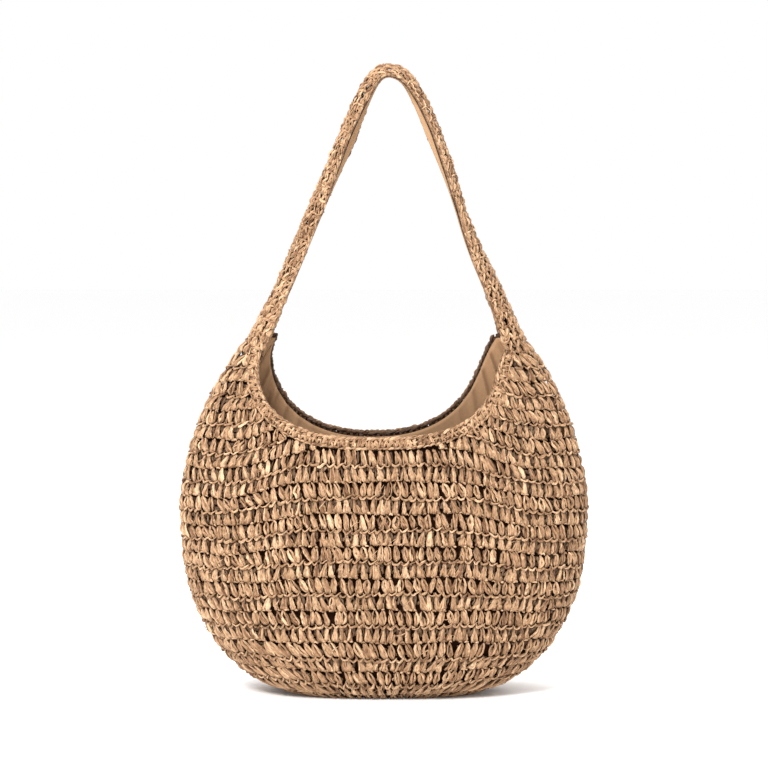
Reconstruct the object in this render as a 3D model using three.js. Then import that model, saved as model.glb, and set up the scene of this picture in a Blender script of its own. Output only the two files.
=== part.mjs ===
// A crocheted straw hobo bag: a rounded half-moon body with a scooped mouth and one shoulder strap.
// Millimetres, +Z up, the front faces -Y, and the origin is on the floor under the middle of the base.
import * as THREE from 'three';
import { mergeVertices } from 'three/addons/utils/BufferGeometryUtils.js';

// Body outline
const BODY_HALF_WIDTH = 203;
const WIDEST_Z = 172;
const LOWER_REACH = 189;
const LOWER_POWER = 2.3;
const UPPER_REACH = 250;
const BODY_HALF_DEPTH = 72;
const DEEPEST_Z = 90;
const BASE_HALF_DEPTH = 56;
const TOP_HALF_DEPTH = 20;
const DEPTH_FADE = 310;
const BASE_CORNER = 20;
const SECTION_POWER = 2.6;
const FOLD_AT = 0.82;

// Mouth: the front rim hangs a little wider than the back one
const RIM_LOW_Z = 258.5;
const FRONT_RIM = { middleX: -4, halfWidth: 121, topZ: 350, power: 2.8 };
const BACK_RIM = { middleX: -6, halfWidth: 110, topZ: 360, power: 2.3 };
const SHOULDER_Z = 362;
const SHOULDER_ARCH = 7;
const SHOULDER_LEAN = 5;
const EDGING_HEIGHT = 9;

// Layers, measured inwards from the outside of the straw
const STRAW = 5;
const LINING_OUT = 7;
const LINING_IN = 8;
const LINING_SHY = 8;
const BASE_LIP = 8;
const SEAM_GAP = 0.6;

// How finely the panels are divided, and how much of their width they fill between the folds
const FACE_COLUMNS = 12;
const GUSSET_COLUMNS = 6;
const RISES = [0, 0.05, 0.13, 0.25, 0.38, 0.52, 0.66, 0.8, 0.9, 1];
const FACE_FILL = 0.9965;
const GUSSET_FILL = 0.985;
const LIP_RINGS = [0, 0.35, 0.7, 1];

// Strap
const STRAP_HALF_WIDTH = 15;
const STRAP_NECK_HALF_WIDTH = 5;
const STRAP_THICKNESS = 5;
const STRAP_PIVOT_Z = 388;
const STRAP_NECK_CLEAR = 6;
const STRAP_ROUTE = [
  [-116, 372], [-102, 402], [-71.5, 474], [-41, 546], [-20, 595], [-6, 617],
  [5, 621], [20, 615], [35, 593], [64, 522], [88, 450], [109, 402], [121, 372],
];
const STRAP_STEPS = 40;
const STRAP_COLUMNS = 8;
const CURL = 10;
const CURL_POWER = 2.6;
const NECK_FLARE = 24;
const NECK_SHOULDER = 1;
const BACKING_HALF_WIDTH = 12;
const BACKING_THICKNESS = 1;
const BACKING_GAP = 0.4;
const BACKING_START = 14;
const BACKING_COLUMNS = 6;

// Magnetic snap
const SNAP_RADIUS = 9;
const SNAP_Z = 234;
const SOCKET_THICKNESS = 4;
const STUD_THICKNESS = 2.6;
const STUD_PIN_RADIUS = 3.2;
const STUD_PIN_HEIGHT = 2.4;
const SNAP_STAND = 0.8;
const WASHER_RADIUS = 8;
const WASHER_THICKNESS = 0.6;
const WASHER_DEPTH = 1.05;
const ROUND_SEGMENTS = 24;

// Zip pocket on the back lining
const POCKET_BULGE = 2.6;
const POCKET_CLEAR = 1.1;
const POCKET_LOW_Z = 92;
const POCKET_HALF_ACROSS = 0.5;
const POCKET_THICKNESS = 1;
const ZIP_LENGTH = 150;
const ZIP_Y = 42;
const ZIP_Z = 203;
const TAPE_HEIGHT = 9;
const TAPE_THICKNESS = 0.8;
const TAPE_OVERHANG = 7;
const TAPE_SEAM = 0.3;
const COIL_HEIGHT = 1.6;
const COIL_THICKNESS = 1.6;
const COIL_GAP = 1.8;
const ZIP_TRAVEL = 128;
const SLIDER_HEIGHT = 9;
const SLIDER_LENGTH = 9;
const PLATE_NEAR = 1.2;
const PLATE_FAR = 1.9;
const SLIDER_PLAY = 0.3;
const STOP = { length: 2.4, depth: 2.4, height: 4.8, gap: 1.6 };
const PULLER_HALF_WIDTH = 3.2;
const PULLER_DROP = 20;
const PULLER_THICKNESS = 1.2;
const PULLER_STAND = 3;
const PULLER_RISE = 0.8;

const straw = { color: 0xdeba92, roughness: 0.75, metalness: 0 };
const cloth = { color: 0xb89268, roughness: 0.85, metalness: 0 };
const steel = { color: 0xc9bfa8, roughness: 0.3, metalness: 0.9 };
const tape = { color: 0xa88460, roughness: 0.9, metalness: 0 };

const bag = new THREE.Group();

function addPart(name, geometry, material, parent = bag) {
  const mesh = new THREE.Mesh(geometry, new THREE.MeshStandardMaterial(material));
  mesh.name = name;
  parent.add(mesh);
  return mesh;
}

function range(count, low, high) {
  return Array.from({ length: count + 1 }, (_, i) => low + ((high - low) * i) / count);
}

// ---- The body's outer surface ----

function halfWidth(z) {
  if (z >= WIDEST_Z) return BODY_HALF_WIDTH * Math.sqrt(1 - ((z - WIDEST_Z) / UPPER_REACH) ** 2);
  const share = ((WIDEST_Z - z) / LOWER_REACH) ** LOWER_POWER;
  return BODY_HALF_WIDTH * (1 - share) ** (1 / LOWER_POWER);
}

function halfDepth(z) {
  if (z >= DEEPEST_Z) {
    const fade = Math.cos(((Math.PI / 2) * (z - DEEPEST_Z)) / DEPTH_FADE) ** 2;
    return TOP_HALF_DEPTH + (BODY_HALF_DEPTH - TOP_HALF_DEPTH) * fade;
  }
  return BODY_HALF_DEPTH - (BODY_HALF_DEPTH - BASE_HALF_DEPTH) * ((DEEPEST_Z - z) / DEEPEST_Z) ** 2;
}

// Heights under BASE_CORNER run round the bottom corner, from the flat base at 0 to the wall.
function level(height) {
  if (height >= BASE_CORNER) return { z: height, inset: 0 };
  const turn = (Math.PI / 2) * (height / BASE_CORNER);
  return { z: BASE_CORNER * (1 - Math.cos(turn)), inset: BASE_CORNER * (1 - Math.sin(turn)) };
}

const foldShare = (1 - FOLD_AT ** SECTION_POWER) ** (1 / SECTION_POWER);

// side is front, right, back or left; across runs from -1 to 1, counter-clockwise seen from above.
function outerPoint(side, across, height) {
  const { z, inset } = level(height);
  const width = halfWidth(z) - inset;
  const depth = halfDepth(z) - inset;
  const facing = side === 'front' || side === 'back';
  const share = (facing ? FOLD_AT : foldShare) * across;
  const rest = (1 - Math.abs(share) ** SECTION_POWER) ** (1 / SECTION_POWER);
  if (side === 'front') return new THREE.Vector3(width * share, -depth * rest, z);
  if (side === 'right') return new THREE.Vector3(width * rest, depth * share, z);
  if (side === 'back') return new THREE.Vector3(-width * share, depth * rest, z);
  return new THREE.Vector3(-width * rest, -depth * share, z);
}

function layerPoint(side, across, height, depthIn) {
  if (depthIn === 0) return outerPoint(side, across, height);
  const step = 0.02;
  const low = outerPoint(side, across, Math.max(height - step * 10, 0));
  const high = outerPoint(side, across, height + step * 10);
  const before = outerPoint(side, Math.max(across - step, -1), height);
  const after = outerPoint(side, Math.min(across + step, 1), height);
  const normal = new THREE.Vector3().crossVectors(after.sub(before), high.sub(low)).normalize();
  return outerPoint(side, across, height).addScaledVector(normal, -depthIn);
}

function rimHeight(rim, x) {
  const share = Math.abs((x - rim.middleX) / rim.halfWidth);
  if (share >= 1) return rim.topZ;
  return rim.topZ - (rim.topZ - RIM_LOW_Z) * (1 - share ** rim.power) ** (1 / rim.power);
}

// The height where the line of a panel that is across from its middle meets the mouth.
function panelTop(side, across) {
  if (side === 'right') return SHOULDER_Z - SHOULDER_ARCH * across ** 2 + SHOULDER_LEAN * across;
  if (side === 'left') return SHOULDER_Z - SHOULDER_ARCH * across ** 2 - SHOULDER_LEAN * across;
  const rim = side === 'front' ? FRONT_RIM : BACK_RIM;
  let low = RIM_LOW_Z - 1;
  let high = rim.topZ;
  for (let i = 0; i < 40; i += 1) {
    const middle = (low + high) / 2;
    const { x } = outerPoint(side, across, middle);
    const outside = Math.abs(x - rim.middleX) >= rim.halfWidth;
    if (outside || middle < rimHeight(rim, x)) low = middle;
    else high = middle;
  }
  return low;
}

// ---- Closed solids from a grid of points on two faces ----

// outer and inner are rows of points of the same shape; the solid is what lies between them.
function slab(outer, inner) {
  const rows = outer.length;
  const columns = outer[0].length;
  const points = [...outer.flat(), ...inner.flat()];
  const at = (layer, row, column) => layer * rows * columns + row * columns + column;
  const triangles = [];
  const quad = (a, b, c, d) => triangles.push(a, b, c, a, c, d);
  for (let r = 0; r < rows - 1; r += 1) {
    for (let c = 0; c < columns - 1; c += 1) {
      quad(at(0, r, c), at(0, r, c + 1), at(0, r + 1, c + 1), at(0, r + 1, c));
      quad(at(1, r, c), at(1, r + 1, c), at(1, r + 1, c + 1), at(1, r, c + 1));
    }
  }
  for (let c = 0; c < columns - 1; c += 1) {
    quad(at(0, 0, c), at(1, 0, c), at(1, 0, c + 1), at(0, 0, c + 1));
    quad(at(0, rows - 1, c), at(0, rows - 1, c + 1), at(1, rows - 1, c + 1), at(1, rows - 1, c));
  }
  for (let r = 0; r < rows - 1; r += 1) {
    quad(at(0, r, 0), at(0, r + 1, 0), at(1, r + 1, 0), at(1, r, 0));
    quad(at(0, r, columns - 1), at(1, r, columns - 1), at(1, r + 1, columns - 1), at(0, r + 1, columns - 1));
  }
  return solidFrom(points, triangles);
}

function solidFrom(points, triangles) {
  const geometry = new THREE.BufferGeometry();
  const positions = points.flatMap((point) => point.toArray());
  geometry.setAttribute('position', new THREE.Float32BufferAttribute(positions, 3));
  geometry.setIndex(triangles);
  return mergeVertices(geometry, 1e-4);
}

function columnsOf(side) {
  if (side === 'front' || side === 'back') return range(FACE_COLUMNS, -FACE_FILL, FACE_FILL);
  return range(GUSSET_COLUMNS, -GUSSET_FILL, GUSSET_FILL);
}

// A panel between two heights, each a function of the place across, and between two depths.
function panel(side, bottom, top, depthOut, depthIn, rises = RISES) {
  const layer = (depth) =>
    rises.map((rise) =>
      columnsOf(side).map((across) => {
        const height = bottom(across) + (top(across) - bottom(across)) * rise;
        return layerPoint(side, across, height, depth);
      }),
    );
  return slab(layer(depthOut), layer(depthIn));
}

const lip = () => BASE_LIP + SEAM_GAP;

function crochetPanels() {
  for (const side of ['front', 'back']) {
    const top = (across) => panelTop(side, across) - EDGING_HEIGHT - SEAM_GAP;
    addPart(`${side}_panel`, panel(side, lip, top, 0, STRAW), straw);
    const edgingBottom = (across) => panelTop(side, across) - EDGING_HEIGHT;
    const rimTop = (across) => panelTop(side, across);
    addPart(`rim_edging_${side}`, panel(side, edgingBottom, rimTop, 0, STRAW, [0, 1]), straw);
  }
  for (const side of ['left', 'right']) {
    addPart(`gusset_${side}`, panel(side, lip, (across) => panelTop(side, across), 0, STRAW), straw);
  }
}

function liningPanels() {
  for (const side of ['front', 'back', 'left', 'right']) {
    const top = (across) => panelTop(side, across) - LINING_SHY;
    addPart(`lining_${side}`, panel(side, lip, top, LINING_OUT, LINING_IN), cloth);
  }
}

// A dish with a flat middle: it fills the loop of the four panels from the middle to the lip.
function dish(depthOut, depthIn) {
  const loop = [];
  for (const side of ['front', 'right', 'back', 'left']) {
    columnsOf(side).slice(0, -1).forEach((across) => loop.push([side, across]));
  }
  const heights = LIP_RINGS.map((share) => BASE_LIP * share);
  const ring = (height, depth) => loop.map(([side, across]) => layerPoint(side, across, height, depth));
  const face = (depth) => {
    const edge = ring(0, depth);
    const flat = [0.5, 1].map((share) =>
      edge.map((point) => new THREE.Vector3(point.x * share, point.y * share, depth)),
    );
    return [...flat, ...heights.slice(1).map((height) => ring(height, depth))];
  };
  const faces = [face(depthOut), face(depthIn)];
  const rings = faces[0].length;
  const around = loop.length;
  const points = [...faces[0].flat(), ...faces[1].flat()];
  points.push(new THREE.Vector3(0, 0, depthOut), new THREE.Vector3(0, 0, depthIn));
  const at = (layer, r, c) => layer * rings * around + r * around + (c % around);
  const middle = (layer) => 2 * rings * around + layer;
  const triangles = [];
  for (let c = 0; c < around; c += 1) {
    triangles.push(middle(0), at(0, 0, c + 1), at(0, 0, c));
    triangles.push(middle(1), at(1, 0, c), at(1, 0, c + 1));
    for (let r = 0; r < rings - 1; r += 1) {
      triangles.push(at(0, r, c), at(0, r, c + 1), at(0, r + 1, c + 1));
      triangles.push(at(0, r, c), at(0, r + 1, c + 1), at(0, r + 1, c));
      triangles.push(at(1, r, c), at(1, r + 1, c + 1), at(1, r, c + 1));
      triangles.push(at(1, r, c), at(1, r + 1, c), at(1, r + 1, c + 1));
    }
    triangles.push(at(0, rings - 1, c), at(0, rings - 1, c + 1), at(1, rings - 1, c + 1));
    triangles.push(at(0, rings - 1, c), at(1, rings - 1, c + 1), at(1, rings - 1, c));
  }
  return solidFrom(points, triangles);
}

// ---- Strap: a strip curled into a C that opens towards the inside of its loop ----

const strapCurve = new THREE.CatmullRomCurve3(
  STRAP_ROUTE.map(([x, z]) => new THREE.Vector3(x, 0, z)),
  false,
  'centripetal',
);

// One cross-section: a row of points from the front edge to the back edge, depthIn under the outside.
function strapSection(spot, halfWidthHere, curl, depthIn, columns) {
  return range(columns, -1, 1).map((across) => {
    const rise = curl * (1 - Math.abs(across) ** CURL_POWER) - curl / 2;
    const slope = -curl * CURL_POWER * Math.abs(across) ** (CURL_POWER - 1) * Math.sign(across);
    const normal = new THREE.Vector2(-slope / halfWidthHere, 1).normalize();
    const y = across * halfWidthHere - normal.x * depthIn;
    const out = rise + STRAP_THICKNESS / 2 - normal.y * depthIn;
    return spot.point.clone().addScaledVector(spot.outward, out).add(new THREE.Vector3(0, y, 0));
  });
}

function spotAt(share) {
  const point = strapCurve.getPointAt(share);
  const along = strapCurve.getTangentAt(share);
  return { point, outward: new THREE.Vector3(-along.z, 0, along.x) };
}

// The strap narrows to a neck where it bends over the shoulder.
function strapHalfWidth(z) {
  const above = THREE.MathUtils.clamp((z - STRAP_PIVOT_Z) / NECK_FLARE, 0, 1);
  return STRAP_NECK_HALF_WIDTH + (STRAP_HALF_WIDTH - STRAP_NECK_HALF_WIDTH) * above;
}

function strapStrip(depthOut, depthIn, widest, columns, startZ) {
  const shares = range(400, 0, 1).filter((share) => strapCurve.getPointAt(share).z >= startZ);
  const steps = range(STRAP_STEPS, shares[0], shares.at(-1));
  const face = (depth) =>
    steps.map((share) => {
      const spot = spotAt(share);
      const half = Math.min(strapHalfWidth(spot.point.z), widest);
      return strapSection(spot, half, CURL, depth, columns);
    });
  return slab(face(depthIn), face(depthOut));
}

function strapBand() {
  return strapStrip(0, STRAP_THICKNESS, STRAP_HALF_WIDTH, STRAP_COLUMNS, STRAP_PIVOT_Z);
}

function strapBacking() {
  const out = STRAP_THICKNESS + BACKING_GAP;
  const startZ = STRAP_PIVOT_Z + BACKING_START;
  return strapStrip(out, out + BACKING_THICKNESS, BACKING_HALF_WIDTH, BACKING_COLUMNS, startZ);
}

// The fixed end: from the curved top of the gusset up to the neck.
function strapEnd(side) {
  const columns = range(GUSSET_COLUMNS, -1, 1);
  const spot = spotAt(side === 'left' ? 0 : 1);
  const face = (depthIn) => {
    const root = columns.map((across) =>
      layerPoint(side, across * GUSSET_FILL, panelTop(side, across) + SEAM_GAP, depthIn),
    );
    const neckHalf = STRAP_NECK_HALF_WIDTH + NECK_SHOULDER;
    const tip = strapSection(spot, neckHalf, CURL, depthIn, GUSSET_COLUMNS);
    tip.forEach((point) => point.setZ(STRAP_PIVOT_Z - STRAP_NECK_CLEAR));
    if (side === 'left') tip.reverse();
    return [root, tip];
  };
  return slab(face(0), face(STRAP_THICKNESS));
}

// ---- Magnetic snap ----

function disc(radius, thickness) {
  return new THREE.CylinderGeometry(radius, radius, thickness, ROUND_SEGMENTS);
}

function snapParts() {
  const halves = [
    { side: 'front', name: 'snap_socket', shape: socket(), thickness: SOCKET_THICKNESS },
    { side: 'back', name: 'snap_stud', shape: stud(), thickness: STUD_THICKNESS },
  ];
  for (const { side, name, shape, thickness } of halves) {
    const inside = layerPoint(side, 0, SNAP_Z, LINING_IN);
    const outside = layerPoint(side, 0, SNAP_Z, STRAW);
    const normal = inside.clone().sub(outside).normalize();
    const tilt = new THREE.Quaternion().setFromUnitVectors(new THREE.Vector3(0, 1, 0), normal);
    const half = addPart(name, shape, steel);
    half.position.copy(inside).addScaledVector(normal, SNAP_STAND + thickness / 2);
    half.quaternion.copy(tilt);
    const washer = addPart(`snap_washer_${side}`, disc(WASHER_RADIUS, WASHER_THICKNESS), steel);
    washer.position.copy(outside).addScaledVector(normal, WASHER_DEPTH);
    washer.quaternion.copy(tilt);
  }
}

function socket() {
  return disc(SNAP_RADIUS, SOCKET_THICKNESS);
}

// A disc with a pin in its middle, which meets the socket.
function stud() {
  const half = STUD_THICKNESS / 2;
  const tip = half + STUD_PIN_HEIGHT;
  const profile = [
    [0, -half], [SNAP_RADIUS, -half], [SNAP_RADIUS, half],
    [STUD_PIN_RADIUS, half], [STUD_PIN_RADIUS, tip], [0, tip],
  ];
  return new THREE.LatheGeometry(profile.map(([r, h]) => new THREE.Vector2(r, h)), ROUND_SEGMENTS);
}

// ---- Zip pocket ----

function pocketPanel() {
  const columns = range(10, -POCKET_HALF_ACROSS, POCKET_HALF_ACROSS);
  const heights = range(6, POCKET_LOW_Z, ZIP_Z - COIL_GAP / 2 - TAPE_HEIGHT);
  const bulge = (across, rise) => {
    const sides = 1 - Math.abs(across / POCKET_HALF_ACROSS) ** 6;
    const seam = 1 - (1 - rise) ** 8;
    return POCKET_BULGE * sides * seam;
  };
  const face = (thickness) =>
    heights.map((height, r) =>
      columns.map((across) => {
        const stand = LINING_IN + POCKET_CLEAR + bulge(across, r / (heights.length - 1)) + thickness;
        return layerPoint('back', across, height, stand);
      }),
    );
  return slab(face(0), face(POCKET_THICKNESS));
}

function bar(length, depth, height, x, y, z) {
  const geometry = new THREE.BoxGeometry(length, depth, height);
  geometry.translate(x, y, z);
  return geometry;
}

// Two plates, one on each side of the coils, joined by a neck that runs between them.
function sliderBody() {
  const plateHalf = SLIDER_HEIGHT / 2;
  const neckHalf = COIL_GAP / 2 - SLIDER_PLAY;
  const near = PLATE_NEAR;
  const far = PLATE_FAR;
  const outline = new THREE.Shape([
    new THREE.Vector2(-plateHalf, -far), new THREE.Vector2(plateHalf, -far),
    new THREE.Vector2(plateHalf, -near), new THREE.Vector2(neckHalf, -near),
    new THREE.Vector2(neckHalf, near), new THREE.Vector2(plateHalf, near),
    new THREE.Vector2(plateHalf, far), new THREE.Vector2(-plateHalf, far),
    new THREE.Vector2(-plateHalf, near), new THREE.Vector2(-neckHalf, near),
    new THREE.Vector2(-neckHalf, -near), new THREE.Vector2(-plateHalf, -near),
  ]);
  const geometry = new THREE.ExtrudeGeometry(outline, { depth: SLIDER_LENGTH, bevelEnabled: false });
  geometry.translate(0, 0, -SLIDER_LENGTH / 2);
  return geometry;
}

// A flat tab that hangs from its top edge, with a round lower end.
function pullerTab() {
  const outline = new THREE.Shape();
  outline.moveTo(-PULLER_HALF_WIDTH, PULLER_RISE);
  outline.lineTo(-PULLER_HALF_WIDTH, -PULLER_DROP);
  outline.absarc(0, -PULLER_DROP, PULLER_HALF_WIDTH, Math.PI, 2 * Math.PI);
  outline.lineTo(PULLER_HALF_WIDTH, PULLER_RISE);
  outline.closePath();
  const options = { depth: PULLER_THICKNESS, bevelEnabled: false, curveSegments: 8 };
  const geometry = new THREE.ExtrudeGeometry(outline, options);
  geometry.translate(0, 0, -PULLER_THICKNESS / 2);
  geometry.rotateX(Math.PI / 2);
  return geometry;
}

function zipParts() {
  for (const [word, sign] of [['lower', -1], ['upper', 1]]) {
    const coilZ = ZIP_Z + sign * (COIL_GAP + COIL_HEIGHT) / 2;
    addPart(`zip_coil_${word}`, bar(ZIP_LENGTH, COIL_THICKNESS, COIL_HEIGHT, 0, ZIP_Y, coilZ), tape);
    const tapeZ = ZIP_Z + sign * (COIL_GAP / 2 + COIL_HEIGHT + TAPE_SEAM + TAPE_HEIGHT / 2);
    const tapeLength = ZIP_LENGTH + 2 * TAPE_OVERHANG;
    addPart(`zip_tape_${word}`, bar(tapeLength, TAPE_THICKNESS, TAPE_HEIGHT, 0, ZIP_Y, tapeZ), tape);
  }
  for (const [word, sign] of [['closed', -1], ['open', 1]]) {
    const stopX = sign * (ZIP_LENGTH / 2 + STOP.gap);
    addPart(`zip_stop_${word}`, bar(STOP.length, STOP.depth, STOP.height, stopX, ZIP_Y, ZIP_Z), steel);
  }
  const slider = addPart('zip_slider', sliderBody(), steel);
  slider.rotation.set(0, Math.PI / 2, 0);
  slider.position.set(-ZIP_TRAVEL / 2, ZIP_Y, ZIP_Z);
  const puller = addPart('zip_puller', pullerTab(), steel);
  puller.position.set(-ZIP_TRAVEL / 2, ZIP_Y - PULLER_STAND, ZIP_Z);
}

crochetPanels();
addPart('base_panel', dish(0, STRAW), straw);
liningPanels();
addPart('lining_floor', dish(LINING_OUT, LINING_IN), cloth);
addPart('strap_end_left', strapEnd('left'), straw);
addPart('strap_end_right', strapEnd('right'), straw);
addPart('strap_band', strapBand(), straw);
addPart('strap_backing', strapBacking(), cloth);
snapParts();
addPart('pocket_panel', pocketPanel(), cloth);
zipParts();

export default bag;
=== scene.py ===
"""The looks of a crocheted straw hobo bag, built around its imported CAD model.

Body shapes are worked out in millimetres, as the CAD is, and meshes are written in metres.
Every stitch is laid out in its own cell: x runs across it, t up it, and w out of the body.
"""

import math

import bpy
import numpy as np
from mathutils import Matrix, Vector


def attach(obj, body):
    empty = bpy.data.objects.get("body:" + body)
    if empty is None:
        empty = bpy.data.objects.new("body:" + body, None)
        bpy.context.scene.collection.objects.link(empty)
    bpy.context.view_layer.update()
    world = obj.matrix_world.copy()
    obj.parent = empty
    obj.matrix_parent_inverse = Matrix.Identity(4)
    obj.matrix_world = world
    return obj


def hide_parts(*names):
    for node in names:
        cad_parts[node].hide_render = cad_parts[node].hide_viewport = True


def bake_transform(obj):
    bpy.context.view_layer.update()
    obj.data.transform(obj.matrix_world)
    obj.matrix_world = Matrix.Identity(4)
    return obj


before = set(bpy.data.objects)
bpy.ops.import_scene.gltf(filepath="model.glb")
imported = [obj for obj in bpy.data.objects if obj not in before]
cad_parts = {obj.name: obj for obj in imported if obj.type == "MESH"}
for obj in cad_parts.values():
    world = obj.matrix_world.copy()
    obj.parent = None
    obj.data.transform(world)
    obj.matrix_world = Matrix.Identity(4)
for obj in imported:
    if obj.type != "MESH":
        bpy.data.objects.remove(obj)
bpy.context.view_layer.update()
rng = np.random.default_rng(20)
MM = 0.001

# ---- Driving sizes: the CAD's, apart from the rims, which differ by up to 5 mm ----
BODY_HALF_WIDTH = 203.0
WIDEST_Z = 172.0
LOWER_REACH = 189.0
LOWER_POWER = 2.3
UPPER_REACH = 250.0
BODY_HALF_DEPTH = 72.0
DEEPEST_Z = 90.0
BASE_HALF_DEPTH = 56.0
TOP_HALF_DEPTH = 20.0
DEPTH_FADE = 310.0
BASE_CORNER = 20.0
SECTION_POWER = 2.6
FOLD_AT = 0.82
RIM_LOW_Z = 258.5
# Each rim's middle, half width, top and power. It hangs off to one side, and comes back to its roots.
FRONT_RIM = (-9.0, 122.0, 350.0, 2.8)
BACK_RIM = (-11.0, 109.0, 360.0, 2.3)
SHOULDER_Z = 362.0
EDGING = 10.0
STRAP_ROUTE = [
    (-116, 372), (-102, 402), (-71.5, 474), (-41, 546), (-20, 595), (-6, 617),
    (5, 621), (20, 615), (35, 593), (64, 522), (88, 450), (109, 402), (121, 372),
]

# ---- Crochet gauge ----
STITCH = 8.0
ROW = 15.7
FRONT, RIGHT, BACK, LEFT = range(4)
FOLD_SHARE = (1 - FOLD_AT**SECTION_POWER) ** (1 / SECTION_POWER)


# ---- The body's surface ----
def half_width(z):
    upper = BODY_HALF_WIDTH * np.sqrt(np.clip(1 - ((z - WIDEST_Z) / UPPER_REACH) ** 2, 0, 1))
    share = (np.clip(WIDEST_Z - z, 0, None) / LOWER_REACH) ** LOWER_POWER
    lower = BODY_HALF_WIDTH * (1 - share) ** (1 / LOWER_POWER)
    return np.where(z >= WIDEST_Z, upper, lower)


def half_depth(z):
    fade = np.cos(math.pi / 2 * (z - DEEPEST_Z) / DEPTH_FADE) ** 2
    upper = TOP_HALF_DEPTH + (BODY_HALF_DEPTH - TOP_HALF_DEPTH) * fade
    lower = BODY_HALF_DEPTH - (BODY_HALF_DEPTH - BASE_HALF_DEPTH) * ((DEEPEST_Z - z) / DEEPEST_Z) ** 2
    return np.where(z >= DEEPEST_Z, upper, lower)


def surface(side, across, height):
    """Points on the outside of the body.

    Heights under BASE_CORNER run round the bottom corner, and those under 0 run into the base.
    """
    turn = math.pi / 2 * np.clip(height / BASE_CORNER, 0, 1)
    z = np.where(height >= BASE_CORNER, height, BASE_CORNER * (1 - np.cos(turn)))
    inset = BASE_CORNER * (1 - np.sin(turn))
    reach = 1 + np.clip(height, None, 0) / (BASE_HALF_DEPTH - BASE_CORNER)
    width = (half_width(z) - inset) * reach
    depth = (half_depth(z) - inset) * reach
    facing = (side == FRONT) | (side == BACK)
    share = np.where(facing, FOLD_AT, FOLD_SHARE) * across
    rest = (1 - np.clip(np.abs(share), 0, 1) ** SECTION_POWER) ** (1 / SECTION_POWER)
    sign = np.where((side == FRONT) | (side == RIGHT), 1.0, -1.0)
    x = np.where(facing, width * share, width * rest) * sign
    y = np.where(facing, -depth * rest, depth * share) * sign
    return np.stack([x, y, z], -1)


def unit(v):
    return v / np.maximum(np.linalg.norm(v, axis=-1, keepdims=True), 1e-9)


def lay(side, across, height, out):
    """Points out millimetres proud of the body's surface, and the surface's normals there."""
    da, dh = 0.01, 0.6
    point = surface(side, across, height)
    along = surface(side, across + da, height) - surface(side, across - da, height)
    up = surface(side, across, height + dh) - surface(side, across, height - dh)
    normal = unit(np.cross(along, up))
    flat = height < 0
    normal[flat] = (0, 0, -1)
    return slump(point + normal * np.asarray(out)[..., None]), normal


def slump(p):
    """The soft, handmade unevenness that every layer of the body shares."""
    x, y, z = p[..., 0], p[..., 1], p[..., 2]
    lift = np.clip(z / 60, 0, 1)
    wave = np.sin(z / 41 + x / 67) + 0.6 * np.sin(z / 23 - x / 49 + 1.3) + 0.5 * np.sin(x / 31 + 2.1)
    side_wave = np.sin(z / 29 + 0.7) + 0.5 * np.sin(z / 13.7 + y / 30)
    high = np.clip((z - 250) / 110, 0, 1)
    q = p.copy()
    q[..., 0] = x + lift * 0.9 * side_wave * np.tanh(x / 120) + 2.5 * high
    q[..., 1] = y + lift * 1.1 * wave * np.tanh(y / 25)
    return q


def rim_middle(rim, z):
    middle, _, top, _ = rim
    return middle * (1 - np.clip((z - RIM_LOW_Z) / (top - RIM_LOW_Z), 0, 1) ** 6)


def rim_height(rim, off):
    """How high the mouth's edge is at a distance off its middle line."""
    _, half, top, power = rim
    share = np.clip(np.abs(off) / half, 0, 1)
    return top - (top - RIM_LOW_Z) * (1 - share**power) ** (1 / power)


def panel_top(side, across):
    """The height where a panel's line meets the mouth or the shoulder."""
    side, across = np.broadcast_arrays(side, across)
    lean = np.where(side == RIGHT, 5.0, -5.0)
    shoulder = SHOULDER_Z - 7 * across**2 + lean * across
    front = surface(side, across, np.full(across.shape, 300.0))[..., 1] < 0
    top = np.empty(across.shape)
    for rim, here in ((FRONT_RIM, front), (BACK_RIM, ~front)):
        facing = (side == FRONT) | (side == BACK)
        low = np.full(across.shape, RIM_LOW_Z - 1)
        high = np.where(facing, rim[2], shoulder)
        for _ in range(30):
            height = (low + high) / 2
            off = surface(side, across, height)[..., 0] - rim_middle(rim, height)
            under = (np.abs(off) >= rim[1]) | (height < rim_height(rim, off))
            low = np.where(under, height, low)
            high = np.where(under, high, height)
        top = np.where(here, low, top)
    return top


# ---- Meshes ----
def new_mesh(name, points, faces, layers=(), creases=None):
    """A mesh object from points in millimetres and face arrays, each with its own number of corners.

    creases numbers the hard fold that each point is on, or is -1 off the folds.
    """
    mesh = bpy.data.meshes.new(name)
    corners = np.concatenate([f.ravel() for f in faces]).astype(np.int32)
    totals = np.concatenate([np.full(len(f), f.shape[1]) for f in faces]).astype(np.int32)
    starts = np.concatenate([[0], np.cumsum(totals)[:-1]]).astype(np.int32)
    mesh.vertices.add(len(points))
    mesh.vertices.foreach_set("co", (points * MM).astype(np.float32).ravel())
    mesh.loops.add(len(corners))
    mesh.loops.foreach_set("vertex_index", corners)
    mesh.polygons.add(len(totals))
    mesh.polygons.foreach_set("loop_start", starts)
    mesh.polygons.foreach_set("loop_total", totals)
    mesh.polygons.foreach_set("use_smooth", np.full(len(totals), True))
    for title, values in layers:
        kind, key = ("FLOAT_VECTOR", "vector") if values.ndim == 2 else ("FLOAT", "value")
        mesh.attributes.new(title, kind, "POINT").data.foreach_set(key, values.astype(np.float32).ravel())
    mesh.update(calc_edges=True)
    if creases is not None:
        ends = np.empty(2 * len(mesh.edges), np.int32)
        mesh.edges.foreach_get("vertices", ends)
        first, second = creases[ends[0::2]], creases[ends[1::2]]
        sharp = (first == second) & (first >= 0)
        mesh.attributes.new("sharp_edge", "BOOLEAN", "EDGE").data.foreach_set("value", sharp)
    mesh.validate()
    obj = bpy.data.objects.new(name, mesh)
    bpy.context.scene.collection.objects.link(obj)
    return obj


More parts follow.
